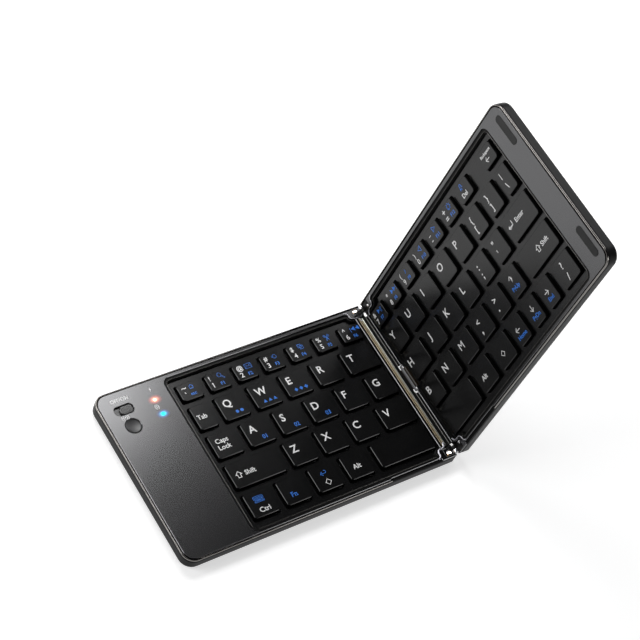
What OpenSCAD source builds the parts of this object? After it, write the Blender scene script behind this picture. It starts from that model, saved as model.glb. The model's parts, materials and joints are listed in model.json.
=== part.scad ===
// Folding keyboard in two halves: a book-style fold about two small end hinges.
// Each half is drawn lying flat in its own frame and then put in place:
//   u = distance from the fold line, v = distance from the near edge,
//   w = height above the underside. The left half is a mirror image in u.
// The model stands half open, left half flat on its feet, right half turned up.

/* [Overall] */
// Length of each half, from the fold line to its outer end
half_len = 156.7; // [150:0.1:160]
// Depth from the near edge to the far edge
depth = 95; // [94.5:0.1:96]
// Thickness of each half, without its feet
half_h = 7; // [7:0.1:8]
// Angle by which the right half is turned up from lying flat
fold_angle = 83.5; // [70:0.5:96]
// Height of the rubber feet
foot_h = 0.5; // [0.3:0.1:1]
// Radius of the two outer corners in plan
corner_r = 6.5; // [4:0.5:8]

/* [Keys] */
// Gap between neighbouring keycaps in a row
key_gap = 4.43; // [4:0.01:4.6]
// Width of a letter keycap
letter_w = 14.1; // [13.5:0.1:14.2]
// How far the keycap tops lie below the top of the frame
key_drop = 0.3; // [0.2:0.1:0.5]
// Clearance between a keycap and its opening in the deck
key_clear = 0.5; // [0.3:0.1:0.6]
// Depth of the key deck below the top of the frame
deck_drop = 2.3; // [2:0.1:2.5]

/* [Hinge] */
// Radius of the hinge knuckles
knuckle_r = 1.7; // [1.5:0.1:1.8]
// Radius of the hinge pins
pin_r = 0.7; // [0.5:0.05:0.8]
// Length of one knuckle along the fold line
knuckle_len = 1.9; // [1.5:0.1:2]
// Height of the fold axis above the top of the frame
axis_lift = 0.2; // [0.15:0.05:0.3]

/* [Controls] */
// Distance of the power switch slot and the pairing button from the fold line
slot_u = 144.4; // [143:0.1:146]
// Distance of the slot from the near edge
slot_v = 83.7; // [83:0.1:84.5]
// Length of the power switch slot
slot_len = 10.4; // [9:0.1:11]
// Width of the power switch slot
slot_w = 5.4; // [4.8:0.1:5.6]
// Travel of the power switch slider
slider_travel = 2.8; // [2:0.1:4]
// Distance of the pairing button from the near edge
button_v = 74.2; // [73.5:0.1:74.8]
// Radius of the pairing button
button_r = 3.9; // [3:0.1:4]
// Distance of both indicator lights from the fold line
light_u = 127.7; // [126:0.1:130]
// Distance of the charge light from the near edge
charge_v = 83.3; // [80:0.1:84]
// Distance of the status light from the near edge
status_v = 74.9; // [74:0.1:77]

/* [Hidden] */
$fn = 48;
slip = 0.01;

// Heights inside a half, from the underside up
floor_t = 1.0;
wall_t = 1.0;
cover_h = half_h - 1.2;
plate_top = floor_t + 0.4;
membrane_top = plate_top + 0.25;
deck_top = half_h - deck_drop;
deck_t = 1.0;
cap_top = half_h - key_drop;
cap_bottom = deck_top - 0.3;
cap_skin = 0.9;
cap_wall = 1.0;
cap_r = 1.2;
frame_skirt = 0.8;
edge_round = 1.5;
inner_corner_r = 1.2;
fold_gap = 0.3;
axis_w = half_h + axis_lift;

// Key wells: [nearest u, farthest u, near v, far v]
left_well = [6.4, 119.2, 2.1, 92.2];
right_well = [0.95, 141.4, 2.6, 92.0];
well_r = 4;

// Corner blocks that carry the hinges, at both ends of the fold line
block_u = 9.4;
block_v = 6.5;
// Shallow finger step in the near edge beside the fold
step_u = 40;
step_v = 1.6;
step_h = 0.8;

// Hinges
leaf_from = 2.3;
leaf_to = 6.2;
leaf_t = 1.5;
leaf_drop = 0.1;
hinge_v0 = 1.3;
hinge_clear = 0.4;
pin_clear = 0.05;
hinge_len = 2 * knuckle_len + 0.1;

// Key rows: [near v, depth, u where the row starts, [cap widths from the fold outwards]]
number_d = 9.25;
letter_d = 13.5;
wide_w = 18.5;
left_rows = [
    [77.15, number_d, 7.56, [for (i = [0:6]) 11.48]],
    [59.9, letter_d, 7.6, [wide_w, letter_w, letter_w, letter_w, letter_w, 9.85]],
    [42.7, letter_d, 7.6, [for (i = [0:5]) letter_w]],
    [25.5, letter_d, 7.6, [wide_w, letter_w, letter_w, letter_w, 28.4]],
    [8.3, letter_d, 7.6, [32.8, letter_w, letter_w, letter_w, letter_w]]
];
right_rows = [
    [77.15, number_d, 1.95, [for (i = [0:6]) 12]],
    [59.9, letter_d, 3.5, [letter_w, letter_w, letter_w, letter_w, 13.4, 12.1, 11.7, 9.25]],
    [42.7, letter_d, 3.6, [18.8, letter_w, letter_w, 13.1, 12.3, 11.9, 23.2]],
    [25.5, letter_d, 3.8, [letter_w, letter_w, letter_w, 13.2, 12.1, 11.5, 27.9]],
    [8.3, letter_d, 3.6, [32.8, 14.5, 14.7, 10.4, 10.1, 10, 14.77]]
];
// The backspace key stands apart from its row
backspace_row = [77.15, number_d, 125.8, [11.6]];
all_right_rows = concat(right_rows, [backspace_row]);

// Screws stand in the webs between the key rows
screw_v = [23.6, 75.25];
screw_u = [24, 66, 112];
screw_r = 0.7;
boss_r = 1.4;
screw_head_r = 1.4;
screw_head_h = 0.6;

foot_u = [13, 143];
foot_v = [11, 84];
foot_r = 4;

magnet_u = 150.6;
magnet_v = [30, 62];
magnet_r = 2.5;
magnet_h = 2;

battery_box = [122.2, 146, 9, 61];
battery_h = 3.2;
board_box = [123.5, 152.5, 66.5, 92.6];
board_w = 1.6;
board_t = 0.8;
board_top = board_w + board_t;
post_r = 1.3;
post_in = 2.2;
post_hole_r = 0.6;
led_h = 0.5;
pipe_r = 0.7;
tact_h = 0.7;
button_gap = 0.1;
button_travel = 0.6;
flange_t = 0.5;
flange_gap = 0.3;
port_u = 133;
port_size = [8.9, 7.2, 3.1];
port_rim = 0.35;
switch_h = 1.5;
knob_w = slot_w - 0.9;
knob_len = slot_len - slider_travel - 0.8;
knob_top = half_h - 0.4;

pad_u = 151;
pad_v = [14.7, 80.7];
pad_len = 16.5;
pad_w = 4;
pad_depth = 0.6;
pad_proud = 0.15;

rail_u = [2.5, 4.6];
rail_v = [7, 88];
channel_w = cover_h + 0.3;
guard_u = [-0.95, 0.65];
guard_v = [39.5, 55.3];
guard_t = 0.5;
flex_v = [41.5, 53.5];
flex_t = 0.15;
strip_v = [[7.2, 38.9], [55.9, 87.8]];

// Where the fold axis stands, with the origin under the middle of the bounding box
reach = (half_len - edge_round) * cos(fold_angle) + (axis_w - edge_round) * sin(fold_angle)
    + edge_round;
fold_x = (half_len - reach) / 2;
fold_z = foot_h + axis_w;

// Colours
shell_dark = [0.09, 0.09, 0.1];
frame_grey = [0.24, 0.24, 0.25];
key_black = [0.07, 0.07, 0.075];
deck_black = [0.1, 0.1, 0.105];
bright = [0.82, 0.82, 0.84];
rubber_black = [0.05, 0.05, 0.05];

function sum_to(list, n) = n <= 0 ? 0 : list[n - 1] + sum_to(list, n - 1);
function key_u(row, i) = row[2] + sum_to(row[3], i) + i * key_gap;

module left_half() {
    translate([fold_x, -depth / 2, foot_h]) mirror([1, 0, 0]) children();
}

module right_half() {
    translate([fold_x, -depth / 2, fold_z]) rotate([0, -fold_angle, 0])
        translate([0, 0, -axis_w]) children();
}

// Rectangle with one radius at the fold side and one at the outer side
module plan(u0, u1, v0, v1, ri, ro) {
    translate([u0 + ri, v0]) square([u1 - u0 - ri - ro, v1 - v0]);
    translate([u0, v0 + ri]) square([ri + slip, v1 - v0 - 2 * ri]);
    translate([u1 - ro - slip, v0 + ro]) square([ro + slip, v1 - v0 - 2 * ro]);
    for (v = [v0 + ri, v1 - ri]) translate([u0 + ri, v]) circle(ri);
    for (v = [v0 + ro, v1 - ro]) translate([u1 - ro, v]) circle(ro);
}

module shell_plan(inset) {
    plan(fold_gap + inset, half_len - inset, inset, depth - inset,
        max(inner_corner_r - inset, 0.4), corner_r - inset);
}

module slab(w0, w1) {
    translate([0, 0, w0]) linear_extrude(w1 - w0) children();
}

module box(u, v, w) {
    translate([u[0], v[0], w[0]]) cube([u[1] - u[0], v[1] - v[0], w[1] - w[0]]);
}

// Repeats its children at the near and the far end of the fold line
module both_ends() {
    children();
    translate([0, depth, 0]) mirror([0, 1, 0]) children();
}

// The key well, less the corner blocks, grown by a margin
module well_plan(well, grow) {
    difference() {
        plan(well[0] - grow, well[1] + grow, well[2] - grow, well[3] + grow, 0.4, well_r);
        translate([-1, -1]) square([block_u + 1 - grow, block_v + 1 - grow]);
        translate([-1, depth - block_v + grow]) square([block_u + 1 - grow, block_v + 1]);
    }
}

module key_opening(row, i) {
    u = key_u(row, i);
    plan(u - key_clear, u + row[3][i] + key_clear, row[0] - key_clear,
        row[0] + row[1] + key_clear, cap_r, cap_r);
}

module keycap(row, i) {
    u = key_u(row, i);
    cap_w = row[3][i];
    color(key_black) difference() {
        slab(cap_bottom, cap_top) plan(u, u + cap_w, row[0], row[0] + row[1], cap_r, cap_r);
        box([u + cap_wall, u + cap_w - cap_wall], [row[0] + cap_wall, row[0] + row[1] - cap_wall],
            [cap_bottom - 1, cap_top - cap_skin]);
    }
}

// Keycaps of one row, from one place in the row to another
module keycaps(row, first, last) {
    for (i = [first:last]) keycap(row, i);
}

// Clearance round the hinge knuckles, about the fold axis
module hinge_clearance() {
    both_ends() translate([0, hinge_v0 - 0.3, axis_w]) rotate([-90, 0, 0])
        cylinder(r = knuckle_r + hinge_clear, h = hinge_len + 0.6);
}

// The outside of a bottom cover, with its lower edge rounded in steps
module cover_outside() {
    hull() let ($fn = 32) {
        slab(edge_round, cover_h) shell_plan(0);
        for (a = [30:30:90]) slab(edge_round * (1 - sin(a)), edge_round)
            shell_plan(edge_round * (1 - cos(a)));
    }
}

module at_screws() {
    for (u = screw_u, v = screw_v) translate([u, v, 0]) children();
}

module cover() {
    difference() {
        union() {
            difference() {
                cover_outside();
                slab(floor_t, half_h) shell_plan(wall_t);
            }
            // Platforms under the hinge leaves
            both_ends() box([fold_gap + wall_t - 0.1, block_u - frame_skirt - 0.4],
                [wall_t - 0.1, block_v - frame_skirt - 0.4],
                [floor_t - 0.1, axis_w - leaf_drop - leaf_t]);
            at_screws() slab(floor_t - 0.1, deck_top - deck_t) circle(boss_r);
        }
        at_screws() slab(-1, half_h) circle(screw_r + 0.1);
        at_screws() slab(-1, screw_head_h) circle(screw_head_r + 0.1);
        hinge_clearance();
    }
}

module deck(well, rows) {
    slab(deck_top - deck_t, deck_top) difference() {
        intersection() {
            well_plan(well, frame_skirt);
            shell_plan(wall_t + 0.05);
        }
        for (row = rows, i = [0:len(row[3]) - 1]) key_opening(row, i);
        at_screws() circle(screw_r);
    }
}

// A sheet that lies under the whole key field, with holes for the screw bosses
module under_sheet(well, w0, w1) {
    slab(w0, w1) difference() {
        intersection() {
            well_plan(well, 0);
            shell_plan(wall_t + 0.3);
        }
        at_screws() circle(boss_r + 0.3);
    }
}

module dome(row, i) {
    base_r = min(3, row[1] / 2 - 3);
    translate([key_u(row, i) + row[3][i] / 2, row[0] + row[1] / 2, membrane_top])
        cylinder(r1 = base_r, r2 = base_r * 0.5, h = cap_top - cap_skin - membrane_top);
}

// Two pairs of crossing links that keep a keycap level
module scissor(row, i) {
    reach_u = min(row[3][i], letter_w) / 2 - 2.2;
    foot = 0.9;
    high = cap_top - cap_skin;
    for (side = [-1, 1], cross = [-1, 1]) {
        layer = row[1] / 2 - (cross > 0 ? 1.6 : 2.5);
        translate([key_u(row, i) + row[3][i] / 2, row[0] + row[1] / 2 + side * layer + 0.35, 0])
            rotate([90, 0, 0]) linear_extrude(0.7) polygon([
                [-cross * reach_u, membrane_top], [-cross * (reach_u - foot), membrane_top],
                [cross * reach_u, high], [cross * (reach_u - foot), high]]);
    }
}

module screws() {
    at_screws() {
        slab(0.1, screw_head_h) circle(screw_head_r);
        slab(0.1, deck_top - 0.3) circle(screw_r);
    }
}

module feet() {
    for (u = foot_u, v = foot_v) translate([u, v, -foot_h]) cylinder(r = foot_r, h = foot_h);
}

module magnets() {
    for (v = magnet_v) translate([magnet_u, v, floor_t]) cylinder(r = magnet_r, h = magnet_h);
}

// One hinge leaf with its knuckle; the knuckle starts at knuckle_v along the fold line
module hinge_leaf(knuckle_v, bore_r) {
    difference() {
        union() {
            box([leaf_from, leaf_to], [hinge_v0, hinge_v0 + hinge_len],
                [axis_w - leaf_drop - leaf_t, axis_w - leaf_drop]);
            box([0, leaf_from + 0.1], [knuckle_v, knuckle_v + knuckle_len],
                [axis_w - leaf_drop - leaf_t, axis_w - leaf_drop]);
            translate([0, knuckle_v, axis_w]) rotate([-90, 0, 0])
                cylinder(r = knuckle_r, h = knuckle_len);
        }
        translate([0, knuckle_v - 1, axis_w]) rotate([-90, 0, 0])
            cylinder(r = bore_r, h = knuckle_len + 2);
    }
}

// Pockets in the frame that let the hinge leaves in from above
module leaf_pockets() {
    both_ends() box([-1, leaf_to + 0.15], [hinge_v0 - 0.15, hinge_v0 + hinge_len + 0.15],
        [0, half_h + 1]);
}

module frame(well) {
    difference() {
        union() {
            slab(cover_h, half_h) shell_plan(0);
            slab(deck_top, cover_h + slip) intersection() {
                difference() {
                    well_plan(well, frame_skirt);
                    well_plan(well, 0);
                }
                shell_plan(wall_t + 0.05);
            }
        }
        slab(0, half_h + 1) well_plan(well, 0);
        leaf_pockets();
        hinge_clearance();
        // Finger step in the near edge
        box([block_u, step_u], [-1, step_v], [half_h - step_h, half_h + 1]);
    }
}

module obround(length, width) {
    for (s = [-1, 1]) translate([s * (length - width) / 2, 0]) circle(width / 2);
    square([length - width, width], center = true);
}

module pad_plan() {
    for (v = pad_v) translate([pad_u, v]) rotate(90) obround(pad_len, pad_w);
}

// Outline of a thin film that runs from the left half, across the fold, into the right half. The
// left path is in (x from the fold, w) and the right one in the right half's own (u, w)
module film_outline(left_path, right_path) {
    turned = [for (p = right_path) [p[0] * cos(fold_angle) - (p[1] - axis_w) * sin(fold_angle),
        axis_w + p[0] * sin(fold_angle) + (p[1] - axis_w) * cos(fold_angle)]];
    path = concat(left_path, turned);
    n = len(path);
    side = [for (i = [0:n - 1]) let (a = path[max(i - 1, 0)], b = path[min(i + 1, n - 1)],
        d = (b - a) / norm(b - a)) [-d[1], d[0]] * flex_t / 2];
    polygon(concat([for (i = [0:n - 1]) path[i] + side[i]],
        [for (i = [0:n - 1]) path[n - 1 - i] - side[n - 1 - i]]));
}

// The film of the given range of v
module film(v) {
    translate([fold_x, v[1] - depth / 2, foot_h]) rotate([90, 0, 0])
        linear_extrude(v[1] - v[0]) children();
}

module left_bottom_cover() {
    color(shell_dark) left_half() difference() {
        union() {
            cover();
            // Posts that the circuit board rests on
            for (u = [board_box[0] + post_in, board_box[1] - post_in],
                v = [board_box[2] + post_in, board_box[3] - post_in])
                translate([u, v]) slab(floor_t - 0.1, board_w) circle(post_r);
        }
        // Mouth of the charging port in the far wall
        box([port_u - port_size[0] / 2 - 0.2, port_u + port_size[0] / 2 + 0.2],
            [depth - wall_t - 1, depth + 1], [board_top - 0.1, half_h]);
        // Way out for the cable
        box([-1, fold_gap + wall_t + 0.1], [flex_v[0] - 0.5, flex_v[1] + 0.5],
            [cover_h - 0.4, half_h]);
    }
}

module left_top_frame() {
    color(frame_grey) left_half() difference() {
        frame(left_well);
        // Channel along the fold, where the rail lies
        box([-1, left_well[0] - 0.7], [block_v + 0.2, depth - block_v - 0.2],
            [channel_w, half_h + 1]);
        // Way out for the cable
        box([-1, 4], [guard_v[0] - 0.3, guard_v[1] + 0.3], [0, half_h + 1]);
        slab(0, half_h + 1) {
            translate([slot_u, slot_v]) obround(slot_len, slot_w);
            translate([slot_u, button_v]) circle(button_r + 0.2);
            for (v = [charge_v, status_v]) translate([light_u, v]) circle(pipe_r);
        }
    }
}

module left_key_deck() {
    color(deck_black) left_half() deck(left_well, left_rows);
}

module left_membrane() {
    color([0.75, 0.76, 0.7]) left_half() under_sheet(left_well, plate_top, membrane_top);
}

module left_backing_plate() {
    color("silver") left_half() under_sheet(left_well, floor_t, plate_top);
}

module left_rubber_domes() {
    color("gainsboro") left_half() for (row = left_rows, i = [0:len(row[3]) - 1]) dome(row, i);
}

module left_scissor_links() {
    color("white") left_half() for (row = left_rows, i = [0:len(row[3]) - 1]) scissor(row, i);
}

module left_feet() {
    color(rubber_black) left_half() feet();
}

module left_screws() {
    color("dimgray") left_half() screws();
}

module left_magnets() {
    color("silver") left_half() magnets();
}

module left_hinge_leaves() {
    color(bright) left_half() both_ends() hinge_leaf(hinge_v0, pin_r + pin_clear);
}

module hinge_rail() {
    color("gray") left_half() slab(channel_w, half_h - 0.05)
        plan(rail_u[0], rail_u[1], rail_v[0], rail_v[1], 1, 1);
}

// The board, with its two chips, an indicator under each light pipe and the button's switch
module main_circuit_board() {
    color("darkgreen") left_half() {
        slab(board_w, board_top) difference() {
            plan(board_box[0], board_box[1], board_box[2], board_box[3], 0.5, 0.5);
            for (u = [board_box[0] + post_in, board_box[1] - post_in],
                v = [board_box[2] + post_in, board_box[3] - post_in])
                translate([u, v]) circle(post_hole_r);
        }
        box([131, 137], [72.5, 78.5], [board_top - slip, board_top + 0.9]);
        box([131, 135], [68, 71], [board_top - slip, board_top + 0.7]);
        for (v = [charge_v, status_v]) box([light_u - 0.8, light_u + 0.8], [v - 0.5, v + 0.5],
            [board_top - slip, board_top + led_h]);
        box([slot_u - 1.8, slot_u + 1.8], [button_v - 1.8, button_v + 1.8],
            [board_top - slip, board_top + tact_h]);
    }
}

module battery() {
    color("slategray") left_half() slab(floor_t, floor_t + battery_h)
        plan(battery_box[0], battery_box[1], battery_box[2], battery_box[3], 1.5, 1.5);
}

// An oval metal shell with a tongue inside, open at the far edge
module charging_port() {
    color(bright) left_half() translate([port_u, depth - 0.2, board_top + port_size[2] / 2])
        rotate([90, 0, 0]) {
            linear_extrude(port_size[1]) difference() {
                obround(port_size[0], port_size[2]);
                obround(port_size[0] - 2 * port_rim, port_size[2] - 2 * port_rim);
            }
            translate([0, 0, port_size[1] - 1]) linear_extrude(1)
                obround(port_size[0] - port_rim, port_size[2] - port_rim);
            translate([0, 0, 0.8]) linear_extrude(port_size[1] - 1.3)
                square([port_size[0] - 2.2, 0.7], center = true);
        }
}

module power_switch_body() {
    color("silver") left_half() difference() {
        box([slot_u - 4.8, slot_u + 4.8], [slot_v - 2.2, slot_v + 2.2],
            [board_top, board_top + switch_h]);
        box([slot_u - 4.2, slot_u + 4.2], [slot_v - 1.5, slot_v + 1.5],
            [board_top + 0.4, half_h]);
    }
}

// The slider stands at the end of its slot nearer the keys, in its on position
module power_slider() {
    flange_top = cover_h - flange_gap;
    flange_len = slot_len + slider_travel + 1;
    color([0.25, 0.25, 0.26]) left_half() translate([slot_u - slider_travel / 2, slot_v, 0]) {
        slab(board_top + 0.6, flange_top) square([2.4, 2.2], center = true);
        slab(flange_top - flange_t, flange_top) square([flange_len, slot_w + 1.2], center = true);
        slab(flange_top - slip, knob_top) obround(knob_len, knob_w);
        for (i = [-3:3]) translate([i * 0.8, 0]) slab(knob_top - slip, knob_top + 0.25)
            square([0.35, knob_w - 1.4], center = true);
    }
}

// A dished button with a flange that holds it under the frame
module connect_button() {
    dish_r = 18;
    dish_deep = 0.4;
    flange_top = cover_h - flange_gap;
    color([0.13, 0.13, 0.135]) left_half() translate([slot_u, button_v, 0]) {
        difference() {
            slab(flange_top - flange_t, half_h - 0.05) circle(button_r);
            translate([0, 0, half_h - dish_deep + dish_r]) sphere(dish_r);
        }
        slab(flange_top - flange_t, flange_top) circle(button_r + 0.7);
        slab(board_top + tact_h + button_travel + button_gap, flange_top) circle(1.2);
    }
}

module light_pipe(v, tint) {
    color(tint) left_half() translate([light_u, v]) {
        slab(board_top + led_h, half_h) circle(pipe_r);
        slab(board_top + led_h, board_top + led_h + 1) circle(pipe_r + 0.5);
    }
}

module charge_light_pipe() {
    light_pipe(charge_v, "orangered");
}

module status_light_pipe() {
    light_pipe(status_v, "deepskyblue");
}

module flex_cable() {
    color([0.5, 0.45, 0.3]) film(flex_v) film_outline(
        [[-9, membrane_top + 0.1], [-4.2, membrane_top + 0.1], [-3.6, membrane_top + 0.7],
            [-3.5, cover_h - 0.9], [-3.1, cover_h - 0.3], [-2.4, cover_h - 0.1], [-1, cover_h],
            [0, cover_h - 0.05], [0.7, cover_h + 0.02]],
        [[-0.4, axis_w - 1.25], [0.3, axis_w - 1.25], [1.1, axis_w - 1.4], [1.5, axis_w - 2.1],
            [1.6, membrane_top + 0.6], [2.2, membrane_top + 0.1], [7.6, membrane_top + 0.1]]);
    // Strips on both sides of it that close the gap at the fold against dust
    color([0.1, 0.1, 0.1]) for (v = strip_v) film(v) film_outline(
        [[0.2 - rail_u[0], channel_w + 0.1], [-0.25, channel_w + 0.1], [0.35, channel_w - 0.05],
            [0.8, channel_w + 0.12]],
        [[-0.45, axis_w - 1.2], [0, axis_w - 1.45], [fold_gap - 0.15, axis_w - 1.8],
            [fold_gap - 0.15, axis_w - 2.7]]);
}

module right_bottom_cover() {
    color(shell_dark) right_half() difference() {
        cover();
        // Way in for the cable, with a ledge at each end for the feet of the guard
        box([-1, fold_gap + wall_t + 0.1], guard_v, [cover_h - 0.9, half_h]);
    }
}

module right_top_frame() {
    color(frame_grey) right_half() difference() {
        frame(right_well);
        box([-1, right_well[0] + 0.1], [guard_v[0] - 0.2, guard_v[1] + 0.2], [0, half_h + 1]);
        slab(half_h - pad_depth, half_h + 1) pad_plan();
    }
}

module right_key_deck() {
    color(deck_black) right_half() difference() {
        deck(right_well, all_right_rows);
        box([0, 2.2], guard_v, [0, half_h]);
    }
}

module right_membrane() {
    color([0.75, 0.76, 0.7]) right_half() under_sheet(right_well, plate_top, membrane_top);
}

module right_backing_plate() {
    color("silver") right_half() under_sheet(right_well, floor_t, plate_top);
}

module right_rubber_domes() {
    color("gainsboro") right_half() for (row = all_right_rows, i = [0:len(row[3]) - 1]) dome(row, i);
}

module right_scissor_links() {
    color("white") right_half() for (row = all_right_rows, i = [0:len(row[3]) - 1]) scissor(row, i);
}

module right_feet() {
    color(rubber_black) right_half() feet();
}

module right_screws() {
    color("dimgray") right_half() screws();
}

module right_magnets() {
    color("silver") right_half() magnets();
}

module right_hinge_leaves() {
    color(bright) right_half() both_ends() hinge_leaf(hinge_v0 + knuckle_len + 0.1, pin_r);
}

module hinge_pins() {
    color(bright) right_half() both_ends() translate([0, hinge_v0 - 0.15, axis_w])
        rotate([-90, 0, 0]) cylinder(r = pin_r, h = hinge_len + 0.3);
}

// Bar over the cable where it crosses the fold, with a foot at each end
module cable_guard() {
    color("gray") right_half() {
        box(guard_u, guard_v, [half_h - guard_t, half_h]);
        for (v = [guard_v[0], guard_v[1] - 0.8]) box([fold_gap, guard_u[1]], [v, v + 0.8],
            [cover_h - 0.9, half_h - guard_t + slip]);
    }
}

module bumper_pads() {
    color(rubber_black) right_half() slab(half_h - pad_depth, half_h + pad_proud) pad_plan();
}

module number_keys_left() { left_half() keycaps(left_rows[0], 0, 6); }
module tab_key() { left_half() keycaps(left_rows[1], 5, 5); }
module letter_keys_qwer() { left_half() keycaps(left_rows[1], 1, 4); }
module t_key() { left_half() keycaps(left_rows[1], 0, 0); }
module caps_lock_key() { left_half() keycaps(left_rows[2], 5, 5); }
module letter_keys_asdfg() { left_half() keycaps(left_rows[2], 0, 4); }
module left_shift_key() { left_half() keycaps(left_rows[3], 4, 4); }
module letter_keys_zxc() { left_half() keycaps(left_rows[3], 1, 3); }
module v_key() { left_half() keycaps(left_rows[3], 0, 0); }
module left_modifier_keys() { left_half() keycaps(left_rows[4], 1, 4); }
module left_space_key() { left_half() keycaps(left_rows[4], 0, 0); }
module number_keys_right() { right_half() keycaps(right_rows[0], 0, 6); }
module backspace_key() { right_half() keycaps(backspace_row, 0, 0); }
module letter_keys_yuio() { right_half() keycaps(right_rows[1], 0, 3); }
module bracket_keys() { right_half() keycaps(right_rows[1], 4, 7); }
module h_key() { right_half() keycaps(right_rows[2], 0, 0); }
module home_keys_right() { right_half() keycaps(right_rows[2], 1, 5); }
module enter_key() { right_half() keycaps(right_rows[2], 6, 6); }
module lower_keys_right() { right_half() keycaps(right_rows[3], 0, 4); }
module up_arrow_key() { right_half() keycaps(right_rows[3], 5, 5); }
module right_shift_key() { right_half() keycaps(right_rows[3], 6, 6); }
module right_space_key() { right_half() keycaps(right_rows[4], 0, 0); }
module right_modifier_keys() { right_half() keycaps(right_rows[4], 1, 2); }
module arrow_keys() { right_half() keycaps(right_rows[4], 3, 5); }
module slash_key() { right_half() keycaps(right_rows[4], 6, 6); }

left_bottom_cover();
left_top_frame();
left_key_deck();
left_membrane();
left_backing_plate();
left_rubber_domes();
left_scissor_links();
left_feet();
left_screws();
left_magnets();
left_hinge_leaves();
hinge_rail();
main_circuit_board();
battery();
charging_port();
power_switch_body();
power_slider();
connect_button();
charge_light_pipe();
status_light_pipe();
flex_cable();
right_bottom_cover();
right_top_frame();
right_key_deck();
right_membrane();
right_backing_plate();
right_rubber_domes();
right_scissor_links();
right_feet();
right_screws();
right_magnets();
right_hinge_leaves();
hinge_pins();
cable_guard();
bumper_pads();
number_keys_left();
tab_key();
letter_keys_qwer();
t_key();
caps_lock_key();
letter_keys_asdfg();
left_shift_key();
letter_keys_zxc();
v_key();
left_modifier_keys();
left_space_key();
number_keys_right();
backspace_key();
letter_keys_yuio();
bracket_keys();
h_key();
home_keys_right();
enter_key();
lower_keys_right();
up_arrow_key();
right_shift_key();
right_space_key();
right_modifier_keys();
arrow_keys();
slash_key();
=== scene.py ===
"""A pocket keyboard in two hinged halves, standing half open: left half flat, right half turned up."""
import json
import math

import bmesh
import bpy
import numpy as np
from mathutils import Matrix, Vector
from mathutils.geometry import tessellate_polygon


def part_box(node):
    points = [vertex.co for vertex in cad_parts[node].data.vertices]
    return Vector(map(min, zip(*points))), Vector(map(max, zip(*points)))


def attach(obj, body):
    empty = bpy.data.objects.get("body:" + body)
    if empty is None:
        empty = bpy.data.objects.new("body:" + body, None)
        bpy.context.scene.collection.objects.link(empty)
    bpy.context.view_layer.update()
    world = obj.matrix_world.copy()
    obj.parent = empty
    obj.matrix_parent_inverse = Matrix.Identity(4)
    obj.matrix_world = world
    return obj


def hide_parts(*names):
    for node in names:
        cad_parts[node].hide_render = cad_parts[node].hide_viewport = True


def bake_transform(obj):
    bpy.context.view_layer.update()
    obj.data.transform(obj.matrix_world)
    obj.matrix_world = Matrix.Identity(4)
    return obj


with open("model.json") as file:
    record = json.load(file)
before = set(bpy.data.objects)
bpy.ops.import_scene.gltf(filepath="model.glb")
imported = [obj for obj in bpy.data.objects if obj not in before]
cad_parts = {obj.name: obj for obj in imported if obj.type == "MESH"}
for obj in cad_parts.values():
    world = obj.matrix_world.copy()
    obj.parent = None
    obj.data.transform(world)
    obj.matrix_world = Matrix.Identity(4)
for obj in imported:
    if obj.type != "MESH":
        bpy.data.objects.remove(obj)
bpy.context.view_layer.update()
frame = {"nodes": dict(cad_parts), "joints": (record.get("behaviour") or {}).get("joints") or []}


# ---------------------------------------------------------------- The camera
# It looks down over the near left corner. Its place counts in millimetres from the fold and the
# top of the left half, and the columns of its turn are the camera's right, up and back.
MM = 0.001
fold = next(j for j in frame["joints"] if j["name"] == "fold")
fold_x, _, fold_z = (value / MM for value in fold["pos_m"])
cover_low, cover_high = (np.array(corner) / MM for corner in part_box("left_bottom_cover"))
frame_low, frame_high = (np.array(corner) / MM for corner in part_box("left_top_frame"))
depth = frame_high[1] - frame_low[1]
under_z = cover_low[2]
half_h = frame_high[2] - under_z

camera_at = (-548.17, -291.98, 796.48)
look = ((0.81260, 0.28376, -0.50908), (-0.50632, 0.77630, -0.37550), (0.28864, 0.56289, 0.77449))
lens_mm, sensor_mm = 115.38, 36.0
camera_data = bpy.data.cameras.new("camera")
camera_data.sensor_width = sensor_mm
camera_data.lens = lens_mm
camera_data.clip_start = 0.01
camera_data.clip_end = 50.0
camera = bpy.data.objects.new("camera", camera_data)
bpy.context.scene.collection.objects.link(camera)
top_of_fold = (fold_x, -depth / 2, under_z + half_h)
camera.matrix_world = (Matrix.Translation(np.add(camera_at, top_of_fold) * MM)
                       @ Matrix(look).to_4x4())
bpy.context.scene.camera = camera
bpy.context.scene.view_settings.view_transform = "Standard"


# ---------------------------------------------------------------- Bottom covers
# Each half's tray of charcoal plastic: upright walls, lower edge rounded into the flat
# underside, screws let in from below. Walls and floor are 1 mm thick.

# Each half is drawn lying flat, in millimetres: u runs from the fold line, v from the near edge
# and w from the underside. The left half is mirrored in u; the right one turns up about the fold.
right_press = next(j for j in frame["joints"] if j["name"] == "h_press")
lean = math.atan2(right_press["axis"][0], -right_press["axis"][2])
half_len = fold_x - frame_low[0]
cover_h = cover_high[2] - under_z
axis_w = fold_z - under_z
fold_gap = fold_x - frame_high[0]


def place(side, points):
    """Points of a half as an array of (u, v, w) in the model's frame, in metres: the left half's
    u runs towards -X, and the right half is turned by the lean about the fold axis."""
    u, v, w = np.asarray(points, float).T
    h = w - axis_w
    if side == "left":
        x, z = -u, h
    else:
        x = u * math.cos(lean) - h * math.sin(lean)
        z = u * math.sin(lean) + h * math.cos(lean)
    return np.stack([fold_x + x, v - depth / 2, fold_z + z], axis=1) * MM


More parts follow.
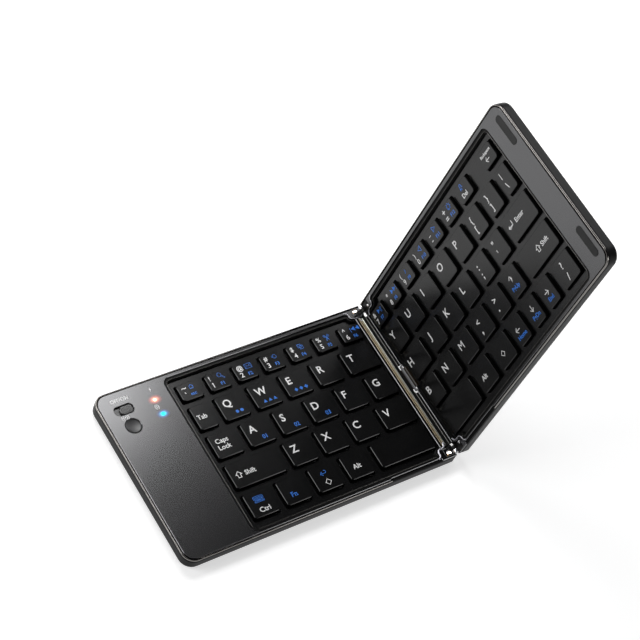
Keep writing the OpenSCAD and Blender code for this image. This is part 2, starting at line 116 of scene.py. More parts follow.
def outline(corners, inset=0.0, steps=6):
    """A closed outline with rounded corners, moved inwards by inset. corners are (u, v, radius),
    going round to the left of the solid's edge. Each side moves along its own inward normal; the
    arc at a corner touches both sides at radius / tan(half the corner's angle), and its points are
    its centre plus the radius times a direction that turns evenly from side to side."""
    c = np.asarray(corners, float)
    p, r = c[:, :2], c[:, 2]
    along = np.roll(p, -1, axis=0) - p
    along /= np.linalg.norm(along, axis=1, keepdims=True)
    before = np.roll(along, 1, axis=0)
    normal_in = np.stack([-along[:, 1], along[:, 0]], axis=1)
    normal_before = np.roll(normal_in, 1, axis=0)
    bend = 1 + np.sum(normal_in * normal_before, axis=1, keepdims=True)
    p = p + inset * (normal_in + normal_before) / bend
    turn = before[:, 0] * along[:, 1] - before[:, 1] * along[:, 0]
    r = np.maximum(r - inset * np.sign(turn), 0.02)
    half_angle = 0.5 * (math.pi - np.arccos(np.clip(np.sum(before * along, axis=1), -1, 1)))
    reach = r / np.tan(half_angle)
    start = p - before * reach[:, None]
    end = p + along * reach[:, None]
    to_centre = along - before
    to_centre /= np.linalg.norm(to_centre, axis=1, keepdims=True)
    centre = p + to_centre * (r / np.sin(half_angle))[:, None]
    a0 = np.arctan2(*(start - centre).T[::-1])
    a1 = np.arctan2(*(end - centre).T[::-1])
    sweep = (a1 - a0 + math.pi) % (2 * math.pi) - math.pi
    a = a0[:, None] + sweep[:, None] * np.linspace(0, 1, steps)[None, :]
    ring = centre[:, None, :] + r[:, None, None] * np.stack([np.cos(a), np.sin(a)], axis=2)
    return ring.reshape(-1, 2)


def rectangle(u0, u1, v0, v1, radius):
    """The four corners of a rounded rectangle, the nearest to the fold first."""
    return [(u0, v0, radius), (u1, v0, radius), (u1, v1, radius), (u0, v1, radius)]


def centred(u, v, len_u, len_v, radius):
    """The corners of a rounded rectangle about its middle."""
    return rectangle(u - len_u / 2, u + len_u / 2, v - len_v / 2, v + len_v / 2, radius)


def circle_corners(u, v, radius):
    """A square whose corners are rounded until it is a circle."""
    return centred(u, v, 2 * radius, 2 * radius, radius * 0.9999)


def bands(n, count, wrap=False, flip=False):
    """Quads that join count rings of n points each, as an array (band, place in the ring, 4).
    wrap joins the last ring to the first as well, and flip turns the quads over."""
    i = np.arange(n)
    j = (i + 1) % n
    low = np.arange(count if wrap else count - 1)[:, None] * n
    high = (low + n) % (n * count)
    if flip:
        return np.stack([low + i, high + i, high + j, low + j], axis=2)
    return np.stack([low + i, low + j, high + j, high + i], axis=2)


def skin(rings, capped=False, flip=False):
    """A part made of rings of points: the quads between each ring and the next and, if capped,
    a flat face on the first ring and on the last."""
    n, count = len(rings[0]), len(rings)
    faces = bands(n, count, flip=flip).reshape(-1, 4).tolist()
    if capped:
        first, last = list(range(n)), list(range((count - 1) * n, count * n))
        faces += [first, last[::-1]] if flip else [first[::-1], last]
    return np.concatenate(rings), faces


def walls(corners, profile, steps=6):
    """The surface that a profile of (inset, height) makes as it is carried round an outline:
    one ring of points for each profile point, joined by quads that face away from the solid
    where the profile climbs on the outside."""
    return skin([np.column_stack([outline(corners, inset, steps), np.full(len(corners) * steps, w)])
                 for inset, w in profile])


def face(loops, w, up=True):
    """A flat face at height w inside the first loop and outside the others, cut in triangles."""
    flat = [[Vector((u, v, 0)) for u, v in loop] for loop in loops]
    points = np.concatenate(loops)
    triangles = np.array([t for t in tessellate_polygon(flat) if len(set(t)) == 3])
    a, b, c = (points[triangles[:, k]] for k in range(3))
    area = (b[:, 0] - a[:, 0]) * (c[:, 1] - a[:, 1]) - (b[:, 1] - a[:, 1]) * (c[:, 0] - a[:, 0])
    wrong = (area > 0) != up
    triangles[wrong] = triangles[wrong][:, ::-1]
    return np.column_stack([points, np.full(len(points), w)]), triangles.tolist()


def stud(corners, profile, steps=6):
    """A closed solid: the walls of a profile, a flat top at its last point and a flat bottom at
    its first."""
    first, last = profile[0], profile[-1]
    return [walls(corners, profile, steps), face([outline(corners, last[0], steps)], last[1]),
            face([outline(corners, first[0], steps)], first[1], False)]


def piece(name, body, side, groups, replaces=(), sharp=32.0):
    """One mesh object out of groups of (parts, material), where a part is (points, faces) in a
    half. The points are merged where they meet, the faces turned outwards by the sign of the
    enclosed volume, and edges steeper than sharp degrees kept crisp."""
    points, faces, numbers, count = [], [], [], 0
    for number, (parts, _) in enumerate(groups):
        for part_points, part_faces in parts:
            points.append(part_points)
            faces += [[index + count for index in f] for f in part_faces]
            numbers += [number] * len(part_faces)
            count += len(part_points)
    mesh = bpy.data.meshes.new(name)
    world = place(side, np.concatenate(points)) if side else np.concatenate(points) * MM
    mesh.from_pydata(world.tolist(), [], faces)
    mesh.polygons.foreach_set("material_index", numbers)
    for _, material in groups:
        mesh.materials.append(material)
    build = bmesh.new()
    build.from_mesh(mesh)
    bmesh.ops.remove_doubles(build, verts=build.verts, dist=1e-7)
    if build.calc_volume(signed=True) < 0:
        bmesh.ops.reverse_faces(build, faces=build.faces)
    build.to_mesh(mesh)
    build.free()
    mesh.shade_smooth()
    mesh.set_sharp_from_angle(angle=math.radians(sharp))
    made = bpy.data.objects.new(name, mesh)
    bpy.context.scene.collection.objects.link(made)
    if body:
        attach(made, body)
    if replaces:
        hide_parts(*replaces)
    return made


class Sock:
    """A value inside a material; + - * / ** with numbers or other values add the Math nodes."""

    def __init__(self, tree, out):
        self.tree = tree
        self.out = out

    def _math(self, operation, a, b):
        made = self.tree.nodes.new("ShaderNodeMath")
        made.operation = operation
        feed(self.tree, made.inputs[0], a)
        feed(self.tree, made.inputs[1], b)
        return Sock(self.tree, made.outputs[0])

    def __add__(self, other):
        return self._math("ADD", self, other)

    def __sub__(self, other):
        return self._math("SUBTRACT", self, other)

    def __rsub__(self, other):
        return self._math("SUBTRACT", other, self)

    def __mul__(self, other):
        return self._math("MULTIPLY", self, other)

    def __truediv__(self, other):
        return self._math("DIVIDE", self, other)

    def __pow__(self, other):
        return self._math("POWER", self, other)

    def above(self, other):
        return self._math("MAXIMUM", self, other)

    __radd__ = __add__
    __rmul__ = __mul__


def feed(tree, socket, value):
    """Link a Sock to a node's input, or set the input to a plain value."""
    if isinstance(value, Sock):
        tree.links.new(value.out, socket)
    else:
        socket.default_value = value


class Finish:
    """A material with one Principled shader; node() makes every other node it needs."""

    def __init__(self, name, color, roughness, **sockets):
        self.material = bpy.data.materials.new(name)
        self.material.use_nodes = True
        self.tree = self.material.node_tree
        self.shader = self.tree.nodes["Principled BSDF"]
        self.put("Base Color", (*color, 1.0))
        self.put("Roughness", roughness)
        for key, value in sockets.items():
            self.put(key.replace("_", " "), value)

    def put(self, socket, value):
        feed(self.tree, self.shader.inputs[socket], value)

    def node(self, kind, values=None, output=0, **settings):
        """A node with its inputs by name or number and its settings; returns one output."""
        made = self.tree.nodes.new("ShaderNode" + kind)
        for key, value in settings.items():
            setattr(made, key, value)
        for key, value in (values or {}).items():
            feed(self.tree, made.inputs[key], value)
        return Sock(self.tree, made.outputs[output])

    def grain(self, scale, detail=2.0):
        """Noise between 0 and 1 in the piece's own coordinates, scale patches to the metre."""
        at = self.node("TexCoord", output="Object")
        return self.node("TexNoise", {"Vector": at, "Scale": scale, "Detail": detail})

    def tint(self, factor, dark, light):
        """Base colour that runs from dark to light with the factor."""
        self.put("Base Color", self.node("Mix", {"Factor": factor, 6: (*dark, 1.0),
                                                 7: (*light, 1.0)}, 2, data_type="RGBA"))


def moulded(name, dark, light, roughness, grain_mm, grain_depth, **sockets):
    """Moulded plastic: a fine even grain in the surface, with a slow drift of shade and gloss."""
    finish = Finish(name, light, roughness, **sockets)
    drift = finish.grain(60.0, 3.0)
    fine = finish.grain(1.0 / (grain_mm * MM))
    finish.tint(drift, dark, light)
    finish.put("Roughness", roughness - 0.04 + 0.06 * drift + 0.02 * fine)
    finish.put("Normal", finish.node("Bump", {"Height": fine, "Distance": grain_depth * MM}))
    return finish.material


shell_plastic = moulded("shell_plastic", (0.011, 0.011, 0.0115), (0.015, 0.015, 0.0155), 0.38,
                        0.16, 0.004, Specular_IOR_Level=0.1)
corner_r, fold_r = 6.5, 1.2
edge_r = 1.5
wall_t = 1.0
screw_us, screw_vs = (24.0, 66.0, 112.0), (23.6, 75.25)
screw_hole_r, screw_sink = 1.5, 0.75
port_u, port_half, port_lip = 133.0, 4.65, 2.3
lip_in = 0.18
shell_corners = [(fold_gap, 0, fold_r), (half_len, 0, corner_r), (half_len, depth, corner_r),
                 (fold_gap, depth, fold_r)]


def bottom_cover(side):
    """A round-edged tray: up the outside in an arc and a straight wall, over the rim, down the
    inside, and flat faces for the underside and the floor. Above the lower lip of the charging
    port the left tray's wall is a band that stops on both sides of the port's mouth."""
    arc = np.linspace(0, math.pi / 2, 7)
    profile = [(edge_r * (1 - math.sin(a)), edge_r * (1 - math.cos(a))) for a in arc]
    upper = [(0, cover_h - 0.45), (lip_in, cover_h - 0.3), (lip_in, cover_h)]
    top = cover_h if side == "right" else port_lip
    profile += (upper if side == "right" else [(0, top)]) + [(wall_t, top), (wall_t, wall_t)]
    holes = [circle_corners(u, v, screw_hole_r) for u in screw_us for v in screw_vs]
    parts = [walls(shell_corners, profile, 8)]
    parts += [walls(hole, [(0, screw_sink), (0, 0)], 4) for hole in holes]
    rounds = [outline(hole, 0, 4) for hole in holes]
    parts += [face([ring], screw_sink, False) for ring in rounds]
    parts.append(face([outline(shell_corners, edge_r, 8)] + rounds, 0, False))
    parts.append(face([outline(shell_corners, wall_t, 8)], wall_t, True))
    if side == "left":
        u0, u1, v1 = fold_gap + wall_t, half_len - wall_t, depth - wall_t
        fold_in, corner_in = 0.2, corner_r - wall_t
        mouth = (port_u - port_half, port_u + port_half)
        band = [shell_corners[3], *shell_corners[:3], (mouth[1], depth, 0.1),
                (mouth[1], v1, 0.1), (u1, v1, corner_in), (u1, wall_t, corner_in),
                (u0, wall_t, fold_in), (u0, v1, fold_in), (mouth[0], v1, 0.1),
                (mouth[0], depth, 0.1)]
        parts += stud(band, [(0, top)] + upper, 8)
    return parts


for side in ("left", "right"):
    piece(side + "_cover_shell", side + "_half", side, [(bottom_cover(side), shell_plastic)],
          [side + "_bottom_cover"])


# ---------------------------------------------------------------- Top frames
# The satin plate round the keys, let into a thin glossy rim that stands on the same base. A
# dark groove parts plate and rim. Beside the fold the near edge has a finger step, and blocks
# with S-shaped sides stand round the hinges.
satin_metal = Finish("satin_metal", (0.115, 0.115, 0.117), 0.22, Metallic=1.0)
slow = satin_metal.grain(45.0, 2.0)
fleck = satin_metal.grain(6000.0, 1.0)
satin_metal.tint(slow, (0.098, 0.098, 0.100), (0.106, 0.106, 0.108))
satin_metal.put("Roughness", 0.22 + 0.01 * slow + 0.01 * fleck)
# The glow of each light on the plate round it is painted into the plate's emission colour,
# strongest at its middle and gone at the edge of an oval; higher powers of that fall-off make
# the paler core.
light_u, charge_v, status_v, light_r = 127.7, 83.3, 74.9, 0.7
halo_u, halo_v = 4.8, 3.3
spot = satin_metal.node("TexCoord", output="Object")
spot_x = satin_metal.node("SeparateXYZ", {"Vector": spot}, "X")
spot_y = satin_metal.node("SeparateXYZ", {"Vector": spot}, "Y")
painted_halos = []
for v in (charge_v, status_v):
    du = (spot_x - (fold_x - light_u) * MM) / (halo_u * MM)
    dv = (spot_y - (v - depth / 2) * MM) / (halo_v * MM)
    painted_halos.append((1.0 - du * du - dv * dv).above(0.0))
orange, blue = painted_halos
satin_metal.put("Emission Color", satin_metal.node("CombineColor", {
    "Red": 1.1 * orange ** 4.0 + 1.2 * orange ** 14.0,
    "Green": (0.22 * orange ** 5.0 + 1.0 * orange ** 16.0
              + 0.26 * blue ** 6.0 + 1.6 * blue ** 14.0),
    "Blue": (0.13 * orange ** 5.0 + 0.8 * orange ** 18.0
             + 0.9 * blue ** 5.0 + 1.3 * blue ** 13.0)}))
satin_metal.put("Emission Strength", 1.0)
satin_metal = satin_metal.material


def smooth(name, color, low, span, scale, detail=2.0, **sockets):
    """A finish of one colour whose roughness wanders from low to low + span in patches."""
    finish = Finish(name, color, low, **sockets)
    finish.put("Roughness", low + span * finish.grain(scale, detail))
    return finish.material


rim_gloss = smooth("rim_gloss", (0.20, 0.19, 0.18), 0.14, 0.06, 400.0, Metallic=1.0)
bead_grey = smooth("bead_grey", (0.075, 0.073, 0.07), 0.22, 0.06, 400.0, Metallic=1.0)
pale_satin = smooth("pale_satin", (0.78, 0.77, 0.83), 0.45, 0.08, 600.0, Metallic=1.0)
groove_black = moulded("groove_black", (0.005, 0.005, 0.005), (0.007, 0.007, 0.007), 0.45,
                       0.2, 0.004, Specular_IOR_Level=0.1)

base_top = half_h - 0.8
plate_in = 1.2
block_u, block_v = 9.2, 6.6
step_u, step_v = 40.0, 1.7
pocket_u, pocket_v = 6.35, (1.05, 5.4)
left_well, right_well = (6.4, 119.2, 2.1, 92.2), (0.95, 141.4, 2.6, 92.0)
guard_v = (39.3, 55.5)
deck_top = half_h - 2.3
plate_chamfer = 0.22
well_chamfer = 0.2
well_r, tip_r = 4.0, 0.6
s_in_r, s_out_r = 1.7, 2.2
plate_r, pocket_r = 0.5, 0.25
channel = left_well[0] - 0.7


def well_corners(well, d=0.0):
    """The key well as an outline: outer corners round, S-shaped sides round the hinge blocks. It
    is moved in by d, by half of it at the hinge blocks and by a sixth beside the fold."""
    u0, u1, v0, v1 = well
    k, e = 0.16 * d, 0.55 * d
    block, near, far = block_u + e, block_v + e, depth - block_v - e
    return [(block, v0 + d, s_in_r - e), (u1 - d, v0 + d, well_r - d),
            (u1 - d, v1 - d, well_r - d), (block, v1 - d, s_in_r - e), (block, far, s_out_r + e),
            (u0 + k, far, tip_r - k), (u0 + k, near, tip_r - k), (block, near, s_out_r + e)]


# On the right the way in from the fold is open beside the guard and leads round the whole well
round_well = well_corners(right_well)
round_well = ([(fold_gap, guard_v[1], 0.1), (right_well[0], guard_v[1], 0.1)]
              + round_well[5::-1] + round_well[:5:-1]
              + [(right_well[0], guard_v[0], 0.1), (fold_gap, guard_v[0], 0.1)])


def plate_corners(side):
    """The satin plate's outline, with an open pocket for a hinge leaf at each end of the fold.
    The left one stops at the channel beside the fold, the right one runs round the well."""
    near = [(fold_gap, 0.15, plate_r), (block_u, 0.15, plate_r), (block_u, step_v, 0.4),
            (step_u, step_v, pocket_r), (step_u + 0.6, plate_in, pocket_r)]
    outer = [(half_len - plate_in, plate_in, corner_r - plate_in),
             (half_len - plate_in, depth - plate_in, corner_r - plate_in),
             (pocket_u, depth - plate_in, 0.15), (pocket_u, depth - pocket_v[1], pocket_r),
             (fold_gap, depth - pocket_v[1], pocket_r)]
    near_pocket = [(fold_gap, pocket_v[1], pocket_r), (pocket_u, pocket_v[1], pocket_r),
                   (pocket_u, pocket_v[0], pocket_r), (fold_gap, pocket_v[0], pocket_r)]
    inner = round_well
    if side == "left":
        inner = [(fold_gap, depth - block_v - 0.1, 0.4), (channel, depth - block_v - 0.1, 0.4),
                 (channel, block_v + 0.1, 0.4), (fold_gap, block_v + 0.1, 0.4)]
    return near + outer + inner + near_pocket


def strip(path, profile):
    """A closed section carried along an open path: path is (point, outward normal) for each
    place, and a section point is (distance outwards, height); the two ends are closed flat."""
    at, normal = path
    lines = [np.column_stack([at + normal * d, np.full(len(at), w)]) for d, w in profile]
    return skin(np.stack(lines, axis=1), True, True)


def across(path):
    """Outward normals of a path: at each point square to the chord between its neighbours."""
    chord = np.gradient(path, axis=0)
    chord /= np.linalg.norm(chord, axis=1, keepdims=True)
    return np.stack([chord[:, 1], -chord[:, 0]], axis=1)


def open_path(corners, inset, first, last, steps=8):
    """Part of an outline as points with outward normals, from corner first to corner last."""
    ring = outline(corners, inset, steps)[first * steps:(last + 1) * steps]
    return ring, across(ring)


def mirror_v(parts):
    """The same parts at the other end of the fold."""
    return [(points * (1, -1, 1) + (0, depth, 0), [f[::-1] for f in faces])
            for points, faces in parts]


def rim_strip():
    """The thin rim along the near, outer and far edges: a rounded strip on the base."""
    end_r, out = 0.05, 9
    corners = [(step_u, 0, end_r), (half_len, 0, corner_r), (half_len, depth, corner_r),
               (fold_gap + 0.2, depth, end_r), (fold_gap + 0.2, depth + out, end_r),
               (half_len + out, depth + out, end_r), (half_len + out, -out, end_r),
               (step_u, -out, end_r)]
    section = [(-0.78, base_top - 0.02), (-0.12, base_top - 0.02), (-0.12, half_h - 0.4),
               (-0.2, half_h - 0.2), (-0.33, half_h - 0.09), (-0.47, half_h - 0.06),
               (-0.61, half_h - 0.1), (-0.72, half_h - 0.22), (-0.78, half_h - 0.42)]
    at, normal = open_path(corners, 0, 0, 3)
    return strip((at[7:-7], normal[7:-7]), section)


def ledge(well, closed):
    """The black ledge a little below the plate all round the well, with a thin bright bead near
    its inner edge: one ring for each (d, height), where d is how far the well's outline is moved
    in. The right one is open at the fold. Returns the black parts and the bead."""
    section = [(0.02, 6.3), (1.2, 6.3), (1.22, 6.4), (1.3, 6.46), (1.44, 6.46), (1.52, 6.4),
               (1.54, 5.9), (1.95, 5.8), (1.95, deck_top), (0.02, deck_top)]
    rings = []
    for d, w in section:
        corners = well_corners(well, d)
        ring = outline(corners[6:] + corners[:6], 0, 8)
        rings.append(np.column_stack([ring, np.full(len(ring), w)]))
    n, m = len(rings[0]), len(section)
    quads = bands(n, m, wrap=True)
    ends = []
    if not closed:
        quads = quads[:, :-1]
        ends = [list(range(0, m * n, n)), list(range(n - 1, m * n, n))[::-1]]
    points = np.concatenate(rings)
    bead_bands = [2, 3, 4]
    bead = quads[bead_bands].reshape(-1, 4).tolist()
    black = np.delete(quads, bead_bands, axis=0).reshape(-1, 4).tolist()
    return [(points, black + ends)], [(points, bead)]


def s_rim(side):
    """The broad satin rim that runs from the channel beside the fold round each hinge block in
    an S, half round on top: a section carried along the well's own curve, a little outside it."""
    corners = well_corners(left_well if side == "left" else right_well)
    corners = [corners[7]] + corners[:7]
    path, _ = open_path(corners, -0.42, 0, 1, 8)
    lead, wide = [(3.4, 9.0), (3.85, 8.2), (4.05, 7.3), (4.75, 6.55), (6.0, 6.25)], 1.2
    if side == "right":
        lead, wide = [(2.2, 8.4), (2.6, 7.4), (3.4, 6.6), (4.8, 6.25), (6.0, 6.2)], 0.6
    path = np.concatenate([lead, path])
    normal = across(path)
    section = [(-0.4, 6.5), (-0.4, 6.9), (-0.33, 6.99), (-0.18, 7.04), (0, 7.06), (0.18, 7.04),
               (0.33, 6.99), (0.4, 6.9), (0.4, 6.5)]
    points, faces = strip((path, normal), [(wide * d, w) for d, w in section])
    slim, _ = strip((path, normal), [(0.5 * d, w - 0.04) for d, w in section])
    return [(points, faces)] + mirror_v([(slim, faces)])


def base_corners(side):
    """The frame's lower layer, right out to the walls, open to the fold like the plate."""
    return [(fold_gap, 0.1, 0.5), (half_len - 0.12, 0.1, corner_r),
            (half_len - 0.12, depth - 0.1, corner_r), (fold_gap, depth - 0.1, 0.5),
            *(round_well if side == "right" else ())]


slot_at, slot_len, slot_w = (144.4, 83.7), 10.4, 5.4
button_at, button_hole = (144.4, 74.2), 4.1
pad_u, pad_vs, pad_len, pad_w = 151.0, (14.7, 80.7), 16.5, 4.0
left_holes = [centred(*slot_at, slot_len, slot_w, slot_w / 2 - 0.001),
              circle_corners(*button_at, button_hole),
              circle_corners(light_u, charge_v, light_r),
              circle_corners(light_u, status_v, light_r)]
pad_holes = [centred(pad_u, v, pad_w, pad_len, pad_w / 2 - 0.001) for v in pad_vs]


def slab(corners, w0, w1, chamfer=0.0, holes=(), hole_chamfer=0.0, steps=6):
    """A flat plate with upright sides: the side walls of its outline and of every hole, with
    their top edges cut by the chamfers, and the two flat faces between them."""
    parts = [walls(corners, [(0, w0), (0, w1 - chamfer), (chamfer, w1)], steps)]
    for hole in holes:
        parts.append(walls(hole, [(-hole_chamfer, w1), (0, w1 - hole_chamfer), (0, w0)], steps))
    tops = [outline(corners, chamfer, steps)]
    tops += [outline(hole, -hole_chamfer, steps) for hole in holes]
    bottoms = [outline(corners, 0, steps)] + [outline(hole, 0, steps) for hole in holes]
    return parts + [face(tops, w1, True), face(bottoms, w0, False)]


def top_frame(side):
    """Base, plate, ledge and rims of one frame, and on the left the bright lip by the fold."""
    if side == "left":
        holes = [well_corners(left_well)] + left_holes
        plate = slab(plate_corners(side), base_top, half_h, plate_chamfer, holes, well_chamfer, 8)
        base = slab(base_corners(side), cover_h, base_top, 0, holes, 0, 8)
        black, bead = ledge(left_well, True)
        for v0, v1 in ((6.9, guard_v[0] - 0.2), (guard_v[1] + 0.2, 88.1)):
            bead += slab(rectangle(fold_gap + 0.02, fold_gap + 0.34, v0, v1, 0.15), base_top,
                         half_h - 0.05, 0.1)
    else:
        plate = slab(plate_corners(side), base_top, half_h, plate_chamfer, pad_holes, 0.1, 8)
        base = slab(base_corners(side), cover_h, base_top, 0, (), 0, 8)
        black, bead = ledge(right_well, False)
    return [(plate, satin_metal), (base + black, groove_black), ([rim_strip()], rim_gloss),
            (bead, bead_grey), (s_rim(side), pale_satin)]


for side in ("left", "right"):
    piece(side + "_frame_plate", side + "_half", side, top_frame(side),
          [side + "_top_frame"])


# ---------------------------------------------------------------- Keys and key decks
# Scissor keys of satin black plastic, each in its own opening of the deck: thin caps with a
# softened top edge, a hollow underside and sides in a darker, almost unreflecting copy of the
# plastic, as painted shade. Rows run from the fold outwards.
key_gap = 4.43
cap_top = half_h - 0.3
cap_low = deck_top - 0.3
cap_r, cap_lean, cap_bevel = 1.2, 0.08, 0.2
cap_wall, cap_roof = 0.8, 0.9
deck_t, deck_out, key_clear = 1.0, 0.75, 0.5
letter_w, number_w, wide_w = 14.1, 11.48, 18.5
row_v = (77.15, 59.9, 42.7, 25.5, 8.3)
row_d = (9.25, 13.5, 13.5, 13.5, 13.5)
key_rows = {
    "left": [(7.56, [number_w] * 7),
             (7.6, [wide_w] + [letter_w] * 4 + [9.85]),
             (7.6, [letter_w] * 6),
             (7.6, [wide_w] + [letter_w] * 3 + [28.4]),
             (7.6, [32.8] + [letter_w] * 4)],
    "right": [(1.95, [12.0] * 7),
              (3.5, [letter_w] * 4 + [13.4, 12.1, 11.7, 9.25]),
              (3.6, [18.8, letter_w, letter_w, 13.1, 12.3, 11.9, 23.2]),
              (3.8, [letter_w] * 3 + [13.2, 12.1, 11.5, 27.9]),
              (3.6, [32.8, 14.5, 14.7, 10.4, 10.1, 10.0, 14.77])]}
backspace_u, backspace_w = 125.8, 11.6


def key_box(side, row, index):
    """(nearest u, farthest u, near v, far v) of one keycap; index -1 is the key that stands
    apart at the end of the right half's number row."""
    v = row_v[row]
    if index < 0:
        return backspace_u, backspace_u + backspace_w, v, v + row_d[row]
    start, widths = key_rows[side][row]
    u = start + sum(widths[:index]) + index * key_gap
    return u, u + widths[index], v, v + row_d[row]


def key_boxes(side):
    """The boxes of all the keycaps of one half."""
    boxes = [key_box(side, row, i) for row, (_, widths) in enumerate(key_rows[side])
             for i in range(len(widths))]
    return boxes + ([key_box(side, 0, -1)] if side == "right" else [])


# Which keys each CAD node holds: (row, first, last) counted from the fold
node_keys = {
    "left": {"number_keys_left": (0, 0, 6), "t_key": (1, 0, 0), "letter_keys_qwer": (1, 1, 4),
             "tab_key": (1, 5, 5), "letter_keys_asdfg": (2, 0, 4), "caps_lock_key": (2, 5, 5),
             "v_key": (3, 0, 0), "letter_keys_zxc": (3, 1, 3), "left_shift_key": (3, 4, 4),
             "left_space_key": (4, 0, 0), "left_modifier_keys": (4, 1, 4)},
    "right": {"number_keys_right": (0, 0, 6), "backspace_key": (0, -1, -1),
              "letter_keys_yuio": (1, 0, 3), "bracket_keys": (1, 4, 7), "h_key": (2, 0, 0),
              "home_keys_right": (2, 1, 5), "enter_key": (2, 6, 6),
              "lower_keys_right": (3, 0, 4), "up_arrow_key": (3, 5, 5),
              "right_shift_key": (3, 6, 6), "right_space_key": (4, 0, 0),
              "right_modifier_keys": (4, 1, 2), "arrow_keys": (4, 3, 5), "slash_key": (4, 6, 6)}}

key_black = (0.0035, 0.0035, 0.0037), (0.0046, 0.0046, 0.0048)
key_top = moulded("key_top", *key_black, 0.22, 0.12, 0.0015, Specular_IOR_Level=0.38)
# The caps' sides: a darker, almost unreflecting copy of the key plastic, as painted shade.
shaded_key_side = smooth("shaded_key_side", (0.0015, 0.0015, 0.0015), 0.45, 0.1, 500.0,
                  Specular_IOR_Level=0.04)
deck_satin = moulded("deck_satin", *key_black, 0.22, 0.15, 0.0015, Specular_IOR_Level=0.38)


def keycap(box):
    """One cap: walls that lean in slightly, a narrow bevel, a flat top, and the hollow
    underside. Returns the parts of the top and of the sides."""
    corners = rectangle(*box, cap_r)
    edge = [(cap_lean, cap_top - cap_bevel), (cap_lean + cap_bevel, cap_top)]
    under = cap_top - cap_roof
    sides = [walls(corners, [(cap_wall, under), (cap_wall, cap_low), (0.0, cap_low),
                             (0.0, cap_low + 0.5), edge[0]]),
             face([outline(corners, cap_wall)], under, False)]
    tops = [walls(corners, edge), face([outline(corners, edge[1][0])], cap_top)]
    return tops, sides


def deck_parts(side):
    """The plate under the keys with one softened opening for each cap. The right one is cut back
    beside the guard."""
    well, start = left_well, channel
    if side == "right":
        well, start = right_well, fold_gap + wall_t + 0.05
    inner, outer = block_u - deck_out, well[1] + deck_out
    v0, v1 = well[2] - deck_out, well[3] + deck_out
    near, far = block_v - deck_out, depth - block_v + deck_out
    corners = [(inner, v0, 1.0), (outer, v0, 4.0), (outer, v1, 4.0), (inner, v1, 1.0),
               (inner, far, 1.0), (start, far, 0.3)]
    if side == "right":
        corners += [(start, guard_v[1], 0.1), (2.2, guard_v[1], 0.1), (2.2, guard_v[0], 0.1),
                    (start, guard_v[0], 0.1)]
    corners += [(start, near, 0.3), (inner, near, 1.0)]
    holes = [rectangle(a - key_clear, b + key_clear, c - key_clear, d + key_clear, cap_r)
             for a, b, c, d in key_boxes(side)]
    return slab(corners, deck_top - deck_t, deck_top, 0, holes, 0.16, 5)


for side in ("left", "right"):
    piece(side + "_deck_plate", side + "_half", side, [(deck_parts(side), deck_satin)],
          [side + "_key_deck"])
    for node, (row, first, last) in node_keys[side].items():
        caps = [keycap(key_box(side, row, i)) for i in range(first, last + 1)]
        tops, sides = ([part for cap in caps for part in cap[k]] for k in (0, 1))
        piece(node + "_caps", node, side, [(tops, key_top), (sides, shaded_key_side)], [node])


# ---------------------------------------------------------------- Legends
# Printed marks on the caps: white for the plain legend, blue for the second function. Each
# mark is a thin raised print, set by its left edge and base line on its own key.
print_t = 0.02
text_cap = 0.682
weight = 0.026
white_ink = moulded("white_ink", (0.78, 0.78, 0.78), (0.86, 0.86, 0.86), 0.5, 0.1, 0.001)
blue_ink = moulded("blue_ink", (0.016, 0.155, 0.62), (0.026, 0.20, 0.76), 0.5, 0.1, 0.001)


def glyphs(text, cap_height):
    """Printed text as thin solid letters, in millimetres, its left end at 0 and its base
    line at 0: points (x, y, height) and faces."""
    curve = bpy.data.curves.new("print", "FONT")
    curve.body = text
    curve.size = cap_height / text_cap
    curve.offset = weight * cap_height if text.isascii() and text != "M" else 0.0
    curve.resolution_u = 3
    curve.extrude = print_t / 2
    holder = bpy.data.objects.new("print", curve)
    bpy.context.scene.collection.objects.link(holder)
    bpy.context.view_layer.update()
    drawn = holder.evaluated_get(bpy.context.evaluated_depsgraph_get())
    mesh = bpy.data.meshes.new_from_object(drawn)
    bpy.data.objects.remove(holder)
    bpy.data.curves.remove(curve)
    points = np.empty(len(mesh.vertices) * 3)
    mesh.vertices.foreach_get("co", points)
    points = points.reshape(-1, 3)
    faces = [list(polygon.vertices) for polygon in mesh.polygons]
    bpy.data.meshes.remove(mesh)
    points[:, 0] -= points[:, 0].min()
    return points, faces


def mark(side, box, text, x, y, cap_height):
    """Text printed on one cap, x from the cap's left edge as it is read and y from its near
    edge."""
    points, faces = glyphs(text, cap_height)
    u = box[0] + x + points[:, 0]
    if side == "left":
        u = box[1] - x - points[:, 0]
        faces = [f[::-1] for f in faces]
    height = cap_top + print_t / 2 + points[:, 2]
    return np.column_stack([u, box[2] + y + points[:, 1], height]), faces


# Legends from the fold outwards in each row: (white marks, blue marks), each (text, x, y, height)
def letter(text, *blue):
    return [(text, 2.7, 6.9, 3.9)], list(blue)


def white(*marks):
    return list(marks), []


def second(name, icon):
    return [(name, 6.5, 1.7, 1.75), (icon, 6.5, 5.5, 1.9 if len(icon) > 1 else 2.4)]


def number(low, high, name, icon):
    return [(low, 2.1, 1.65, 2.6), (high, 1.8, 5.6, 2.4)], second(name, icon)


